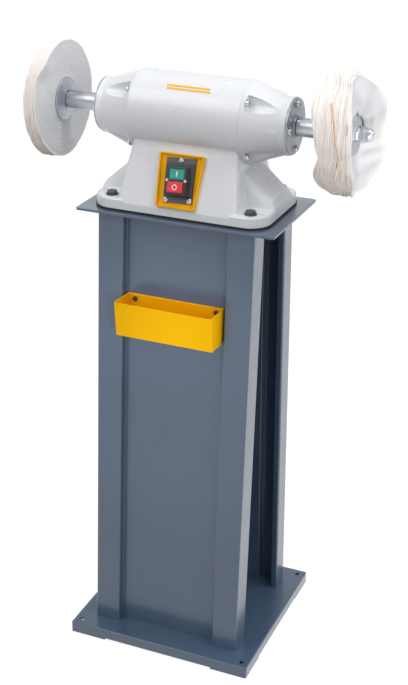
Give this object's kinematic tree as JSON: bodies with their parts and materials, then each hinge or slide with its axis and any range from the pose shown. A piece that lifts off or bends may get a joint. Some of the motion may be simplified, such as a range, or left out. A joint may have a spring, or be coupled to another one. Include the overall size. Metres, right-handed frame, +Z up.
{
  "type": "polishing lathe",
  "caption": "Double-ended polishing motor on a folded-sheet pedestal with a sewn cloth wheel, a loose cloth buff, a push-button switch and an open front tray.",
  "frame": {"origin": "on the floor under the middle of the base pan", "axes": "+X to the right along the spindle, +Y to the rear away from the operator, +Z up"},
  "size_m": [0.606, 0.3362, 1.076],
  "materials": {
    "stand_paint": "semi-gloss blue-grey powder coat",
    "tray_paint": "semi-gloss golden yellow powder coat",
    "casting_paint": "glossy off-white enamel on a smooth casting",
    "pad_rubber": "matt black sheet rubber",
    "black_oxide": "black oxide, satin",
    "zinc_plate": "bright zinc plate",
    "turned_steel": "turned steel, bright zinc plate",
    "cover_aluminium": "machined satin face",
    "bearing_steel": "ground and polished",
    "core_steel": "stacked sheet steel, dull",
    "rotor_aluminium": "as cast",
    "winding_copper": "varnished copper wire",
    "flat_wheel_cloth": "cream cotton plies, sewn in rings",
    "buff_cloth": "loose off-white cotton plies",
    "bezel_yellow": "glossy golden yellow",
    "black_plastic": "fine matt black",
    "green_plastic": "glossy green with a white bar",
    "red_plastic": "glossy red with a white ring"
  },
  "bodies": {
    "stand": {"base_pan": "stand_paint", "bell_screw_washers": "zinc_plate", "bell_screws": "zinc_plate", "bottom_cover": "zinc_plate", "bottom_cover_screws": "black_oxide", "cable_gland": "black_plastic", "capacitor": "rotor_aluminium", "capacitor_clamp": "zinc_plate", "cover_screws": "zinc_plate", "foot_bolts": "zinc_plate", "foot_nuts": "zinc_plate", "gland_cap_nut": "black_plastic", "gland_seal": "pad_rubber", "left_bearing_cover": "cover_aluminium", "left_bearing_outer_ring": "bearing_steel", "left_end_bell": "casting_paint", "machine_bolts": "black_oxide", "machine_nuts": "black_oxide", "machine_washers": "black_oxide", "motor_housing": "casting_paint", "preload_spring": "bearing_steel", "right_bearing_cover": "cover_aluminium", "right_bearing_outer_ring": "bearing_steel", "right_end_bell": "casting_paint", "rubber_pad": "pad_rubber", "stand_front_panel": "stand_paint", "stand_rear_panel": "stand_paint", "stator_core": "core_steel", "stator_windings": "winding_copper", "switch_bezel": "bezel_yellow", "switch_front_screws": "zinc_plate", "switch_housing": "black_plastic", "switch_plate": "black_plastic", "switch_plate_screws": "zinc_plate", "terminal_block": "black_plastic", "tool_tray": "tray_paint", "top_plate": "stand_paint", "tray_nuts": "zinc_plate", "tray_screws": "black_oxide"},
    "spindle": {"rotor_shaft": "turned_steel", "rotor_core": "core_steel", "rotor_cage": "rotor_aluminium", "left_bearing_inner_ring": "bearing_steel", "left_spacer_sleeve": "turned_steel", "left_inner_flange": "turned_steel", "left_outer_flange": "turned_steel", "left_polishing_wheel": "flat_wheel_cloth", "left_spindle_nut": "turned_steel", "right_bearing_inner_ring": "bearing_steel", "right_spacer_sleeve": "turned_steel", "right_inner_flange": "turned_steel", "right_outer_flange": "turned_steel", "right_polishing_wheel": "buff_cloth", "right_spindle_nut": "turned_steel"},
    "left_ball_set": {"left_bearing_balls": "bearing_steel", "left_bearing_cage": "bearing_steel"},
    "right_ball_set": {"right_bearing_balls": "bearing_steel", "right_bearing_cage": "bearing_steel"},
    "start_button": {"start_button": "green_plastic"},
    "stop_button": {"stop_button": "red_plastic"}
  },
  "joints": [
    {"name": "spindle_spin", "type": "hinge", "parent": "stand", "child": "spindle", "pos_m": [-0.0025, 0.006, 0.976], "axis": [1, 0, 0], "continuous": true},
    {"name": "left_balls_roll", "type": "hinge", "parent": "stand", "child": "left_ball_set", "pos_m": [-0.1565, 0.006, 0.976], "axis": [1, 0, 0], "continuous": true},
    {"name": "right_balls_roll", "type": "hinge", "parent": "stand", "child": "right_ball_set", "pos_m": [0.1515, 0.006, 0.976], "axis": [1, 0, 0], "continuous": true},
    {"name": "start_press", "type": "slide", "parent": "stand", "child": "start_button", "axis": [0, 0.9339, -0.3577], "range_m": [0, 0.003], "stiffness_N_per_m": 800, "springref_m": -0.002},
    {"name": "stop_press", "type": "slide", "parent": "stand", "child": "stop_button", "axis": [0, 0.9339, -0.3577], "range_m": [0, 0.003], "stiffness_N_per_m": 800, "springref_m": -0.002}
  ],
  "couplings": [
    {"joint": "left_balls_roll", "follows": "spindle_spin", "ratio": 0.3821},
    {"joint": "right_balls_roll", "follows": "spindle_spin", "ratio": 0.3821}
  ]
}
